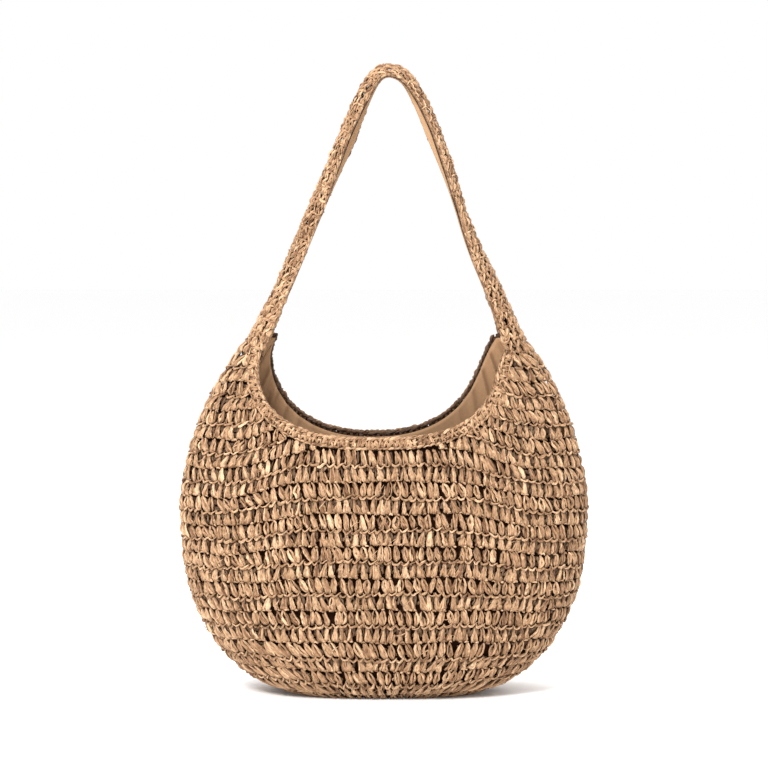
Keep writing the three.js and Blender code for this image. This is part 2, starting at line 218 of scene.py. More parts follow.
def slab(name, outer, inner):
    """A closed sheet between two (rows, columns, 3) grids of points, with its weave laid along them."""
    rows, columns = outer.shape[:2]
    points = np.concatenate([outer.reshape(-1, 3), inner.reshape(-1, 3)])
    across = np.linalg.norm(np.diff(outer, axis=1), axis=2).cumsum(axis=1)
    across = np.concatenate([np.zeros((rows, 1)), across], axis=1)
    up = np.linalg.norm(np.diff(outer, axis=0), axis=2).cumsum(axis=0)
    up = np.concatenate([np.zeros((1, columns)), up], axis=0)
    across = across - across.mean(axis=1, keepdims=True)
    weave = np.stack([across, up, np.zeros_like(up)], -1).reshape(-1, 3)
    layers = [
        ("weave", np.concatenate([weave, weave])),
        # the outer grid's face is marked for painted shade, which the cloth material paints near-black
        ("painted_shade_side", np.repeat([1.0, 0.0], rows * columns)),
    ]
    index = np.arange(2 * rows * columns).reshape(2, rows, columns)

    def quads(a, b, c, d):
        return np.stack([a.ravel(), b.ravel(), c.ravel(), d.ravel()], 1)

    o, i = index
    faces = [
        quads(o[:-1, :-1], o[:-1, 1:], o[1:, 1:], o[1:, :-1]),
        quads(i[:-1, :-1], i[1:, :-1], i[1:, 1:], i[:-1, 1:]),
        quads(o[0, :-1], i[0, :-1], i[0, 1:], o[0, 1:]),
        quads(o[-1, :-1], o[-1, 1:], i[-1, 1:], i[-1, :-1]),
        quads(o[:-1, 0], o[1:, 0], i[1:, 0], i[:-1, 0]),
        quads(o[:-1, -1], i[:-1, -1], i[1:, -1], o[1:, -1]),
    ]
    return new_mesh(name, points, faces, layers)


def spline_matrix(controls, samples):
    """Weights that turn control points into points on a smooth curve through them."""
    weights = np.zeros((samples, controls))
    for row, s in enumerate(np.linspace(0, controls - 1, samples)):
        i = min(int(s), controls - 2)
        f = s - i
        before, start = -f + 2 * f**2 - f**3, 2 - 5 * f**2 + 3 * f**3
        end, after = f + 4 * f**2 - 3 * f**3, f**3 - f**2
        basis = np.array([before, start, end, after]) / 2
        for offset, weight in zip((-1, 0, 1, 2), basis):
            weights[row, min(max(i + offset, 0), controls - 1)] += weight
    return weights


# A strand: the corners of its section, the samples along it, its folds and crumples as shares of its size,
# how far it leans and rolls in radians, and how much painted light its relief gets, lighter on raised folds
# and darker in sunken ones
SIDES = 8
SAMPLES = 8
SECTION_TURN = np.linspace(0, 2 * math.pi, SIDES, endpoint=False)[None, None]
FOLD_DEPTH = 0.38
CRUMPLE = 0.15
LEAN_SPREAD = 0.35
ROLL_SPREAD = 0.7
PAINTED_RELIEF_LIGHT = 0.7


class Straw:
    """Strands of folded paper straw, collected and made into one mesh. backs is how light the painted shade
    leaves their backs, the sides turned in towards the bag.
    """

    def __init__(self, backs=0.35):
        self.backs = backs
        self.points, self.quads, self.caps, self.folds = [], [], [], []
        self.tint, self.shade, self.fibre = [], [], []
        self.count = 0
        self.strands = 0

    def add(self, paths, normals, wide, thick, tint, shade):
        """Sweeps a creased section along each path.

        paths and normals are (strands, samples, 3). wide, thick and shade are (strands, samples), and
        tint is (strands,).
        """
        n, k = paths.shape[:2]
        along = unit(np.gradient(paths, axis=1))
        across = unit(np.cross(along, normals))
        out = np.cross(across, along)
        lean = rng.normal(0, LEAN_SPREAD, (n, 1, 1))
        roll = lean + np.linspace(-0.5, 0.5, k)[None, :, None] * rng.normal(0, ROLL_SPREAD, (n, 1, 1))
        angle = SECTION_TURN + rng.uniform(-0.22, 0.22, (n, 1, SIDES)) + roll
        fold = FOLD_DEPTH * rng.uniform(-1, 1, (n, 1, SIDES))
        crease = 1 + fold + CRUMPLE * rng.standard_normal((n, k, SIDES))
        c, s = np.cos(angle) * crease, np.sin(angle) * crease
        ring = paths[:, :, None] + (across[:, :, None] * (c * wide[:, :, None])[..., None])
        ring = ring + out[:, :, None] * (s * thick[:, :, None])[..., None]
        index = self.count + np.arange(n * k * SIDES).reshape(n, k, SIDES)
        nxt = np.roll(index, -1, axis=2)
        quads = np.stack([index[:, :-1], nxt[:, :-1], nxt[:, 1:], index[:, 1:]], -1).reshape(-1, 4)
        self.quads.append(quads)
        self.caps += [index[:, 0, ::-1], index[:, -1]]
        self.points.append(ring.reshape(-1, 3))
        line = (self.strands + np.arange(n))[:, None, None] * SIDES + np.arange(SIDES)
        self.folds.append(np.broadcast_to(line, (n, k, SIDES)).ravel())
        length = np.linalg.norm(np.diff(paths, axis=1), axis=2).cumsum(axis=1)
        length = np.concatenate([np.zeros((n, 1)), length], axis=1)
        offset = rng.uniform(0, 400, (n, 1, 1))
        around = np.cos(angle) * wide[:, :, None]
        depth = np.sin(angle) * wide[:, :, None]
        fibre = np.stack(np.broadcast_arrays(length[:, :, None], around + offset, depth + offset * 1.7), -1)
        self.fibre.append(fibre.reshape(-1, 3))
        # Painted highlight and shade: raised folds of the section are tinted lighter and sunken ones darker,
        # on top of the strand's own random tint.
        lit = tint[:, None, None] + PAINTED_RELIEF_LIGHT * (crease - 1)
        self.tint.append(np.broadcast_to(lit, (n, k, SIDES)).ravel())
        # Painted shade: each strand's sides and back, turned away from the outside, are darkened in the shade
        # attribute, down to backs.
        facing = np.clip((np.sin(angle) + 0.35) / 0.9, 0, 1)
        self.shade.append((shade[:, :, None] * (self.backs + (1 - self.backs) * facing)).ravel())
        self.count += n * k * SIDES
        self.strands += n

    def mesh(self, name, floor=None):
        points = np.concatenate(self.points)
        if floor is not None:
            points[:, 2] = np.maximum(points[:, 2], floor)
        faces = [np.concatenate(self.quads), np.concatenate(self.caps)]
        layers = [
            ("tint", np.concatenate(self.tint)),
            ("shade", np.concatenate(self.shade)),
            ("fibre", np.concatenate(self.fibre)),
        ]
        obj = new_mesh(name, points, faces, layers, np.concatenate(self.folds))
        obj.data.materials.append(straw_material)
        return obj


# ---- Stitches: each strand is control points (x, t, w), widths and thicknesses in millimetres ----
class Strand:
    def __init__(self, points, wide, thick, shade=1.0, loose=0.35):
        self.points = np.array(points, float)
        self.wide, self.thick = np.array(wide, float), np.array(thick, float)
        self.shade, self.loose = shade, loose


POST = [
    Strand([(0.5, 0.02, -1.3), (0.4, 0.28, 0.3), (0.2, 0.62, 0.1), (0.0, 0.97, -1.5)],
           [2.4, 2.3, 1.7, 1.4], [1.0, 1.4, 1.1, 0.9]),
    Strand([(-2.5, 0.03, -1.4), (-1.7, 0.3, -0.2), (-0.9, 0.62, -0.3), (-0.4, 0.94, -1.5)],
           [1.2, 1.4, 1.0, 0.8], [0.9, 1.2, 1.0, 0.8]),
    Strand([(2.9, 0.03, -1.4), (2.2, 0.25, -0.3), (1.3, 0.6, -0.7)], [1.1, 1.2, 0.6], [0.8, 1.0, 0.6]),
    Strand([(-3.9, 0.35, -3.3), (-0.6, 0.6, -2.9), (3.8, 0.9, -3.0)], [1.3, 1.6, 1.3], [0.8, 1.0, 0.8], 0.85),
    Strand([(3.6, 0.3, -3.2), (4.3, 0.62, -2.5), (3.7, 0.98, -2.6)], [1.0, 1.1, 0.9], [0.8, 0.9, 0.8], 0.62),
    Strand([(1.6, 0.0, -1.0), (3.4, 0.06, 0.3), (5.0, -0.02, -1.2)], [0.6, 1.0, 0.6], [0.6, 0.9, 0.6]),
]
LEAF = [
    Strand([(1.2, 0.05, -1.5), (-0.6, 0.26, 0.3), (-2.3, 0.6, 0.3), (-1.3, 0.98, -1.2)],
           [1.2, 1.7, 1.4, 0.7], [0.9, 1.4, 1.2, 0.7]),
    Strand([(1.5, 0.06, -1.3), (2.3, 0.36, 0.4), (1.3, 0.74, 0.6), (-1.3, 1.0, -0.8)],
           [1.1, 1.3, 1.2, 0.8], [0.9, 1.2, 1.2, 0.8]),
    Strand([(0.9, 0.1, -1.0), (0.2, 0.34, -0.1), (-0.5, 0.55, -1.0)], [0.9, 1.1, 0.5], [0.8, 1.0, 0.5]),
    Strand([(3.9, 0.2, -3.0), (0.5, 0.5, -2.9), (-3.9, 0.8, -3.0)], [1.3, 1.6, 1.3], [0.8, 1.0, 0.8], 0.9),
]
FULL_LEAF = [
    Strand([(1.4, 0.04, -1.5), (0.3, 0.28, 0.2), (-1.2, 0.62, 0.5), (-1.9, 0.98, -1.1)],
           [1.5, 2.1, 1.9, 1.0], [0.9, 1.4, 1.3, 0.8]),
    Strand([(2.6, 0.06, -1.6), (2.7, 0.36, 0.0), (1.7, 0.74, 0.3), (-0.5, 1.02, -0.9)],
           [0.7, 1.1, 1.1, 0.7], [0.8, 1.1, 1.1, 0.7]),
    Strand([(-1.5, 0.02, -1.7), (-2.4, 0.3, -0.5), (-3.0, 0.7, -1.2)], [0.7, 1.0, 0.5], [0.7, 0.9, 0.5]),
    Strand([(-3.9, 0.25, -3.0), (0.0, 0.5, -2.8), (3.9, 0.7, -3.0)], [1.2, 1.5, 1.2], [0.8, 1.0, 0.8], 0.9),
]
SLANT = [
    Strand([(1.8, 0.0, -1.6), (1.1, 0.3, 0.0), (-0.4, 0.7, 0.2), (-1.6, 1.0, -1.2)],
           [1.5, 2.1, 1.9, 1.2], [0.9, 1.4, 1.3, 0.9]),
    Strand([(-2.4, 0.05, -2.0), (-1.9, 0.5, -0.6), (-0.6, 0.95, -1.2)], [0.8, 1.2, 0.9], [0.7, 1.0, 0.8]),
    Strand([(3.6, 0.1, -3.2), (3.4, 0.5, -2.8), (2.4, 0.95, -3.0)], [0.8, 1.0, 0.8], [0.7, 0.9, 0.7], 0.6),
]
RIDGE = [
    Strand([(-4.3, 0.1, -1.0), (-1.8, -0.1, 0.7), (1.4, -0.03, 1.2), (4.6, 0.15, -0.6)],
           [0.5, 0.9, 1.0, 0.5], [0.6, 0.9, 1.0, 0.6], 1.0, 0.55),
    Strand([(-4.6, 0.14, -1.8), (-3.2, -0.02, -0.1), (-0.9, -0.12, -0.7)],
           [0.5, 0.85, 0.6], [0.6, 0.8, 0.6], 1.0, 0.55),
]
KNOT = [
    Strand([(2.2, -0.3, -1.4), (1.2, 0.3, 0.6), (-0.9, 0.8, 0.5), (-2.2, 1.3, -1.5)],
           [0.8, 1.4, 1.3, 0.7], [0.7, 1.2, 1.2, 0.7]),
    Strand([(-3.0, -0.2, -1.4), (-2.4, 0.4, 0.2), (-0.4, 1.15, -0.9)], [0.7, 1.3, 0.8], [0.7, 1.1, 0.7]),
    Strand([(3.9, 0.0, -1.8), (3.5, 0.5, -0.9), (3.2, 1.0, -1.8)], [0.8, 1.2, 0.8], [0.8, 1.0, 0.8], 0.85),
]
KNOT_BAR = [
    Strand([(-4.4, 0.05, -1.0), (0.2, -0.1, 1.0), (4.6, 0.1, -0.9)], [0.7, 1.2, 0.7], [0.7, 1.1, 0.7]),
]
BACKER = [
    Strand([(-4.6, 0.28, -3.9), (0.0, 0.32, -3.6), (4.6, 0.28, -3.9)],
           [1.9, 2.1, 1.9], [0.5, 0.6, 0.5], 0.6, 0.2),
    Strand([(-4.6, 0.75, -3.9), (0.0, 0.7, -3.6), (4.6, 0.75, -3.9)],
           [1.9, 2.1, 1.9], [0.5, 0.6, 0.5], 0.6, 0.2),
]
SLIVER = [
    Strand([(-4.0, 0.3, 0.2), (-0.5, 0.5, 2.0), (4.5, 0.7, 0.3)],
           [0.3, 0.45, 0.2], [0.2, 0.25, 0.2], 1.0, 1.2),
]


class Sway:
    """How each cell's stitch as a whole is shifted, leant and squeezed by the hand that made it."""

    def __init__(self, count, shift=0.8, lean=2.8, squeeze=0.18):
        drift = np.convolve(rng.standard_normal(count + 6), np.ones(7) / 7 ** 0.5, "valid")
        self.shift = shift * rng.standard_normal((count, 1))
        self.lean = lean * (0.8 * rng.standard_normal((count, 1)) + 0.6 * drift[:, None])
        self.size = 1 + squeeze * rng.standard_normal((count, 1))

    def move(self, x, t):
        return x * self.size + self.shift + self.lean * (t - 0.5)


def lay_strand(straw, strand, place, count, along=0.06, thin=1.0, sway=None):
    """Adds one strand to each of count cells.

    place(x, t, w) gives points and normals for (count, samples) arrays. along is how far the strand
    wanders in t, against x, and thin scales its section.
    """
    controls = len(strand.points)
    weights = spline_matrix(controls, SAMPLES)
    local = np.broadcast_to(strand.points, (count, controls, 3)).copy()
    local[..., 0] += rng.standard_normal((count, controls)) * strand.loose
    local[..., 1] += rng.standard_normal((count, controls)) * strand.loose * along
    local[..., 2] += rng.standard_normal((count, controls)) * strand.loose * 0.8
    local[..., 0] += rng.standard_normal((count, 1)) * 0.35
    local = weights @ local
    local[..., 0] += 0.2 * rng.standard_normal((count, SAMPLES))
    local[..., 2] += 0.2 * rng.standard_normal((count, SAMPLES))
    spread = np.interp(np.linspace(0, 1, SAMPLES), np.linspace(0, 1, controls), strand.wide)
    depth = np.interp(np.linspace(0, 1, SAMPLES), np.linspace(0, 1, controls), strand.thick)
    ends = 1 - 0.45 * np.abs(np.linspace(-1, 1, SAMPLES)) ** 6
    wide = (spread * ends)[None] * (1 + 0.15 * rng.standard_normal((count, 1))) * thin
    thick = (depth * ends)[None] * (1 + 0.12 * rng.standard_normal((count, 1))) * thin
    x = local[..., 0] if sway is None else sway.move(local[..., 0], local[..., 1])
    points, normals = place(x, local[..., 1], local[..., 2])
    tint = np.clip(0.5 + 0.17 * rng.standard_normal(count), 0.1, 0.95)
    # Painted shade: strands lying deeper in the weave are darker, as if in the weave's shadow.
    shade = np.broadcast_to(strand.shade * np.clip(1 + 0.2 * local[..., 2], 0.1, 1.0), wide.shape)
    straw.add(points, normals, wide, thick, tint, shade)


# ---- Rows ----
RIDGES = [17.0, 43.0, 76.4, 108.0, 139.5, 170.0, 201.0, 232.5]
MOUTH_ROW_TOP = 248.0
BASE_LEVELS = [-34.0, -25.5, -17.0, -8.5, 0.0, 8.5]
HIGHEST_LEVEL = 392.0
CUT_SHARE = 0.3
FULL_LEAF_SHARE = 0.45
SLIVER_SHARE = 0.07
TURNED_AT = 0.78


def row_levels():
    """The height of every row's foot from the base up, with a row halfway between each two ridges."""
    levels = list(BASE_LEVELS)
    for low, high in zip(RIDGES[:-1], RIDGES[1:]):
        levels += [low, (low + high) / 2]
    levels += [RIDGES[-1]]
    levels.append(MOUTH_ROW_TOP)
    while levels[-1] < HIGHEST_LEVEL:
        levels.append(levels[-1] + ROW)
    return np.array(levels)


LEVELS = row_levels()


def frown(level):
    """How far a row drops between the middle of a panel and the fold."""
    return np.interp(level, [0, RIDGES[0], RIDGES[-1], HIGHEST_LEVEL], [0, -4, 18, 34])


def row_height(level, side, across):
    facing = (side == FRONT) | (side == BACK)
    bend = np.clip((np.abs(across) - 0.4) / 0.58, 0, 1)
    bend = bend * bend * (3 - 2 * bend)
    drop = frown(level) * np.where(facing, bend, 1.0)
    ripple = 0.9 * np.sin(across * 9 + level * 0.7) * np.clip(level / 40, 0, 1)
    return level - drop + ripple


def row_cells(low, high, side):
    """The middles and widths across of one row's cells on one panel."""
    probe = np.linspace(-1, 1, 81)
    points = surface(side, probe, row_height((low + high) / 2, side, probe))
    length = np.concatenate([[0], np.linalg.norm(np.diff(points, axis=0), axis=1).cumsum()])
    count = max(int(round(length[-1] / STITCH)), 4)
    edges = np.interp(np.linspace(0, length[-1], count + 1), length, probe)
    return (edges[:-1] + edges[1:]) / 2, np.diff(edges)


def stitch_row(straw, side, low, high, kinds, loose=1.0):
    """One row of stitches on one panel, cut off under the edging where the mouth runs through it."""
    centres, widths = row_cells(low, high, side)
    top_limit = panel_top(np.full(centres.shape, side), centres)
    facing = side in (FRONT, BACK)
    top_limit = top_limit - (EDGING if facing else 0)
    floor = row_height(low, side, centres)
    ceiling = np.minimum(row_height(high, side, centres), top_limit)
    full = row_height(high, side, centres) - floor
    keep = (ceiling - floor) > CUT_SHARE * full
    centres, widths, floor, ceiling = centres[keep], widths[keep], floor[keep], ceiling[keep]
    if not len(centres):
        return
    cells = np.array([centres, widths, floor, ceiling])
    if kinds is LEAF:
        plain = rng.random(len(centres)) < FULL_LEAF_SHARE
        fill(straw, FULL_LEAF, side, high, cells[:, plain], loose)
        fill(straw, LEAF, side, high, cells[:, ~plain], loose)
    else:
        fill(straw, kinds, side, high, cells, loose)
    if high > 0 and loose == 1.0:
        stray = rng.random(len(centres)) < SLIVER_SHARE
        fill(straw, SLIVER, side, high, cells[:, stray], 0)
        turned = np.abs(centres) > (TURNED_AT if facing else 0)
        fill(straw, BACKER, side, high, cells[:, turned], 0)


def fill(straw, kinds, side, high, cells, loose):
    """Lays the same strands in every one of the cells (middles, widths, floors and ceilings)."""
    centres, widths, floor, ceiling = (edge[:, None] for edge in cells)
    if not len(centres):
        return
    sunk = 0.4 if high > 0 else 3.0

    def place(x, t, w):
        across = centres + x / STITCH * widths
        lean = row_height(high, side, across) - row_height(high, side, centres)
        return lay(np.full(across.shape, side), across, floor + (ceiling - floor) * t + lean, w - sunk)

    sway = Sway(len(centres), shift=0.8 * loose, lean=2.4 * loose, squeeze=0.16 * loose)
    for strand in kinds:
        lay_strand(straw, strand, place, len(centres), sway=sway)


def crochet_body():
    """The body's rows, one piece each, that run round all four panels."""
    made = []
    for i in range(len(LEVELS) - 1):
        straw = Straw()
        low, high = LEVELS[i], LEVELS[i + 1]
        on_ridge = i % 2 == 1
        kinds = POST if on_ridge else (SLANT if low == RIDGES[-1] else LEAF)
        for side in (FRONT, RIGHT, BACK, LEFT):
            stitch_row(straw, side, low, high, kinds)
            if not on_ridge:
                stitch_row(straw, side, low, high, RIDGE, loose=0.3)
        if straw.count:
            made.append(straw.mesh(f"crochet_row_{i + 1:02d}", floor=0.3))
    return made


# ---- The mouth's edging ----
def rim_curve(rim, count):
    """Evenly spaced x, z points along a rim, from its left end to its right end, and its length."""
    _, half, top, power = rim
    turn = np.linspace(0, math.pi, 2001)
    z = top - (top - RIM_LOW_Z) * np.sin(turn) ** (2 / power)
    x = rim_middle(rim, z) - half * np.sign(np.cos(turn)) * np.abs(np.cos(turn)) ** (2 / power)
    length = np.concatenate([[0], np.hypot(np.diff(x), np.diff(z)).cumsum()])
    at = np.linspace(0, length[-1], count)
    return np.interp(at, length, x), np.interp(at, length, z), length[-1]


def rim_placer(side, rim, centres):
    """Places strands along a rim: x runs along the mouth's edge, t away from it in millimetres, and w out."""
    xs, zs, length = rim_curve(rim, 1200)
    at = np.linspace(0, length, 1200)
    dx, dz = np.gradient(xs, at), np.gradient(zs, at)
    smooth = np.ones(41) / 41
    dx, dz = (np.convolve(np.pad(d, 20, mode="edge"), smooth, "valid") for d in (dx, dz))
    step = np.hypot(dx, dz)
    dx, dz = dx / step, dz / step

    def place(x, t, w):
        s = centres[:, None] + x
        px = np.interp(s, at, xs) + t * np.interp(s, at, dz)
        pz = np.interp(s, at, zs) - t * np.interp(s, at, dx)
        sign = 1 if side == FRONT else -1
        across = sign * px / (half_width(pz) * FOLD_AT)
        return lay(np.full(across.shape, side), across, pz, w)
    return place


EDGE_PITCH = 5.4
EDGE_END = 3.0
EDGE_STITCH = [
    Strand([(-2.2, 9.5, -1.2), (-1.2, 5.0, 0.2), (0.4, 0.9, -0.6),
            (0.9, -0.4, -2.6), (1.4, 4.0, -5.2), (1.6, 8.5, -4.6)],
           [0.9, 1.5, 1.4, 1.4, 1.6, 1.1], [0.8, 1.2, 1.2, 1.2, 1.1, 0.9], 1.0, 0.35),
    Strand([(2.4, 9.5, -1.4), (1.4, 5.6, 0.1), (-0.2, 2.2, -0.7)],
           [0.9, 1.4, 0.9], [0.8, 1.2, 0.8], 1.0, 0.35),
    Strand([(0.2, 10.0, -2.4), (0.0, 5.0, -2.2), (0.0, 0.4, -2.4)],
           [3.1, 3.2, 2.8], [0.7, 0.8, 0.7], 0.5, 0.25),
    Strand([(-4.4, 2.2, -1.4), (-0.6, 0.6, 0.6), (4.0, -0.5, -0.9)],
           [0.7, 1.2, 0.7], [0.7, 1.1, 0.7], 1.0, 0.3),
    Strand([(-4.4, 0.2, -2.2), (0.0, -0.9, -1.4), (4.4, -0.2, -2.4)],
           [0.7, 1.1, 0.7], [0.7, 1.0, 0.7], 1.0, 0.3),
    Strand([(-4.0, 1.2, -4.6), (-0.6, 0.1, -5.2), (3.8, -0.2, -4.6)],
           [0.7, 1.3, 0.7], [0.7, 1.0, 0.7], 2.0, 0.3),
    Strand([(-3.6, 5.6, -1.2), (0.0, 4.9, 0.5), (3.6, 4.4, -1.2)],
           [0.6, 1.0, 0.6], [0.6, 0.9, 0.6], 1.0, 0.3),
    Strand([(-3.6, 10.6, -1.4), (0.0, 9.6, 0.0), (3.6, 9.9, -1.4)],
           [0.6, 1.1, 0.6], [0.6, 0.9, 0.6], 1.0, 0.3),
]


def edging(name, side, rim):
    length = rim_curve(rim, 2)[2]
    count = int((length - 2 * EDGE_END) / EDGE_PITCH)
    centres = EDGE_END + (np.arange(count) + 0.5) * (length - 2 * EDGE_END) / count
    place = rim_placer(side, rim, centres)
    straw = Straw(backs=0.62)
    for strand in EDGE_STITCH:
        lay_strand(straw, strand, place, count, along=1.0)
    return straw.mesh(name)


# ---- The strap ----
def strap_line(count):
    """Evenly spaced distances and points along the strap's middle line, from its left root."""
    route = np.array(STRAP_ROUTE, float)
    route = np.concatenate([[2 * route[0] - route[1]], route, [2 * route[-1] - route[-2]]])
    pieces = []
    for a, b, c, d in zip(route[:-3], route[1:-2], route[2:-1], route[3:]):
        k0 = 0.0
        k1 = k0 + np.linalg.norm(b - a) ** 0.5
        k2 = k1 + np.linalg.norm(c - b) ** 0.5
        k3 = k2 + np.linalg.norm(d - c) ** 0.5
        t = np.linspace(k1, k2, 60, endpoint=False)[:, None]
        ab = (k1 - t) / (k1 - k0) * a + (t - k0) / (k1 - k0) * b
        bc = (k2 - t) / (k2 - k1) * b + (t - k1) / (k2 - k1) * c
        cd = (k3 - t) / (k3 - k2) * c + (t - k2) / (k3 - k2) * d
        abc = (k2 - t) / (k2 - k0) * ab + (t - k0) / (k2 - k0) * bc
        bcd = (k3 - t) / (k3 - k1) * bc + (t - k1) / (k3 - k1) * cd
        pieces.append((k2 - t) / (k2 - k1) * abc + (t - k1) / (k2 - k1) * bcd)
    line = np.concatenate(pieces + [route[-2:-1]])
    length = np.concatenate([[0], np.linalg.norm(np.diff(line, axis=0), axis=1).cumsum()])
    at = np.linspace(0, length[-1], count)
    return at, np.stack([np.interp(at, length, line[:, 0]), np.interp(at, length, line[:, 1])], -1)


STRAP_AT, STRAP_LINE = strap_line(800)
STRAP_LENGTH = STRAP_AT[-1]
STRAP_TANGENT = unit(np.gradient(STRAP_LINE, axis=0))
# Along the strap: how deep its section curls, its twist in degrees, and half its width
STRAP_SHARE = [-0.05, 0.0, 0.04, 0.12, 0.22, 0.30, 0.40, 0.49, 0.56, 0.64, 0.72, 0.79, 0.88, 0.96, 1.0, 1.05]
STRAP_CURL = [15, 15, 12, 12, 12, 11, 11, 9, 8, 8, 7, 4.5, 11, 14, 16, 20]
STRAP_TWIST_SHARE = [0.0, 0.12, 0.24, 0.30, 0.355, 0.41, 0.46, 0.52, 0.58, 0.64, 0.70, 0.76, 1.0]
STRAP_TWIST = [0, -3, -1, 6, 13, 6, 0, -1, 8, 13, 6, 0, 0]
STRAP_HALF = [19, 18, 17, 15, 15, 15, 15, 14, 14, 14, 14, 14, 15, 17, 18, 19]


def strap_point(s, u, out):
    """Points on the strap: s millimetres along it, u from edge to edge (-1 to 1), out from its outer face."""
    share = s / STRAP_LENGTH
    curl = np.interp(share, STRAP_SHARE, STRAP_CURL)
    twist = np.radians(np.interp(share, STRAP_TWIST_SHARE, STRAP_TWIST))
    half = np.interp(share, STRAP_SHARE, STRAP_HALF)
    a = u * (1.25 - 0.25 * u * u)
    past = np.clip(np.abs(u) - 1, 0, None)
    a = np.where(past > 0, np.sign(u), a)
    rise = curl * (1 - np.abs(a) ** SECTION_POWER) - curl / 2 - past * 8
    wide = half * a
    slope = -curl * SECTION_POWER * np.abs(a) ** (SECTION_POWER - 1) * np.sign(a)
    tilt = np.hypot(slope, half)
    rise = rise + (out + 1.5) * half / tilt
    wide = wide - (out + 1.5) * slope / tilt
    n = rise * np.cos(twist) - wide * np.sin(twist)
    y = wide * np.cos(twist) + rise * np.sin(twist)
    px, pz = (np.interp(s, STRAP_AT, STRAP_LINE[:, i]) for i in (0, 1))
    tx, tz = (np.interp(s, STRAP_AT, STRAP_TANGENT[:, i]) for i in (0, 1))
    over = np.where(s < 0, s, np.where(s > STRAP_LENGTH, s - STRAP_LENGTH, 0))
    return np.stack([px + over * tx - tz * n, y, pz + over * tz + tx * n], -1)


def strap_surface(s, u, out):
    du, ds = 0.02, 0.5
    along = strap_point(s + ds, u, out) - strap_point(s - ds, u, out)
    across = strap_point(s, u + du, out) - strap_point(s, u - du, out)
    return strap_point(s, u, out), unit(np.cross(along, across))


STRAP_ROW = 7.2
STRAP_STITCHES = 7
STRAP_ROOT = 26.0
TAPE_ROOT = 24.0
TAPE_OUTER, TAPE_INNER = -5.4, -6.4
TAPE_HALF = 0.96
STRAP_TURN = [
    Strand([(0, -0.3, -3.5), (0, 0.15, -1.6), (0, 0.6, -0.9), (0, 1.1, -3.4)],
           [0.9, 1.7, 1.8, 0.9], [0.9, 1.5, 1.6, 0.9]),
    Strand([(0, 0.0, -4.4), (0, 0.5, -3.4), (0, 1.2, -4.4)], [0.8, 1.3, 0.8], [0.8, 1.2, 0.8]),
]


LOOP = Strand([(-1.4, 0, -2.6), (-2.4, 0, 1.2), (0, 0, 3.2), (2.3, 0, 1.3), (1.0, 0, -2.6)],
              [0.6, 0.8, 0.8, 0.8, 0.5], [0.5, 0.7, 0.7, 0.7, 0.5], 1.0, 0.2)
LOOSE_LOOPS = [(0.2, -1.0), (0.33, -0.9), (0.57, -1.0), (0.7, -0.4), (0.42, 0.6)]


def strap_crochet():
    straw = Straw(backs=0.5)
    rows = int(round((STRAP_LENGTH + 2 * STRAP_ROOT) / STRAP_ROW))
    step = (STRAP_LENGTH + 2 * STRAP_ROOT) / rows
    starts = -STRAP_ROOT + np.arange(rows) * step
    columns = (np.arange(STRAP_STITCHES) + 0.5) * 2 / STRAP_STITCHES - 1

    def cells(starts, middles):
        start, middle = (grid.ravel()[:, None] for grid in np.meshgrid(starts, middles, indexing="ij"))
        side = np.abs(middles[0]) >= 1

        def place(x, t, w):
            u = middle + x / STITCH * 2 / STRAP_STITCHES
            if side:
                u = middle * (1 + 0.02 * (w + 1))
            return strap_surface(start + t * step, u, w)
        nearest = np.minimum(start, STRAP_LENGTH - start)
        return place, start.size, 0.84 + 0.34 * np.clip(1 - nearest / 60, 0, 1)

    for kinds, which, middles in (
        (KNOT, starts, columns), (KNOT_BAR, starts[::2], columns),
        (STRAP_TURN, starts[::2], np.array([-1.0, 1.0])), (STRAP_TURN, starts[1::2], np.array([-1.0, 1.0])),
    ):
        place, count, thin = cells(which, middles)
        sway = Sway(count, shift=0.8, lean=1.6)
        for strand in kinds:
            lay_strand(straw, strand, place, count, along=0.12, thin=thin, sway=sway)
    for share, u in LOOSE_LOOPS:
        def place(x, t, w, share=share, u=u):
            return strap_surface(share * STRAP_LENGTH + x, u + 0 * x, w)
        lay_strand(straw, LOOP, place, 1, along=0)
    return straw.mesh("strap_crochet")


def strap_backing():
    """The smooth tape inside the strap, which runs on past both of its roots."""
    s = np.linspace(-TAPE_ROOT, STRAP_LENGTH + TAPE_ROOT, 160)[:, None]
    u = np.linspace(-TAPE_HALF, TAPE_HALF, 17)[None]
    s, u = np.broadcast_arrays(s, u)
    outer, inner = strap_point(s, u, TAPE_OUTER), strap_point(s, u, TAPE_INNER)
    return slab("strap_backing_tape", outer, inner)


# ---- Lining and pocket ----
HEM = 3.0
LINING_OUT = 7.0
LINING_THICK = 1.0
PLEAT_DEPTH = 6.0
SAG_DEPTH = 1.2
SHEET_ROWS = 70


def pleats(side, across, height):
    """How far the lining stands in from its seat, gathered towards the strap's roots."""
    high = np.clip((height - 210) / 120, 0, 1)
    facing = side in (FRONT, BACK)
    near = np.clip((np.abs(across) - 0.35) / 0.5, 0, 1) if facing else np.ones_like(across)
    folds = 0.5 + 0.5 * np.sin(across * (58 if facing else 16) + 0.02 * height)
    sag = 0.5 + 0.5 * np.sin(across * 5 + height / 37)
    seam = 1 - np.abs(across) ** 10
    return (PLEAT_DEPTH * folds**3 * near * high + SAG_DEPTH * sag * np.clip(height / 80, 0, 1)) * seam


def lining_panel(name, side):
    across = np.linspace(-1, 1, 161 if side in (FRONT, BACK) else 61)[None]
    top = panel_top(np.full(across.shape, side), across) - HEM
    share = np.linspace(0, 1, SHEET_ROWS)[:, None] ** 0.9
    height = share * top
    across = np.broadcast_to(across, height.shape)
    where = np.full(height.shape, side)
    stand = LINING_OUT + pleats(side, across, height)
    outer = lay(where, across, height, -stand)[0]
    inner = lay(where, across, height, -stand - LINING_THICK)[0]
    return slab(name, outer, inner)


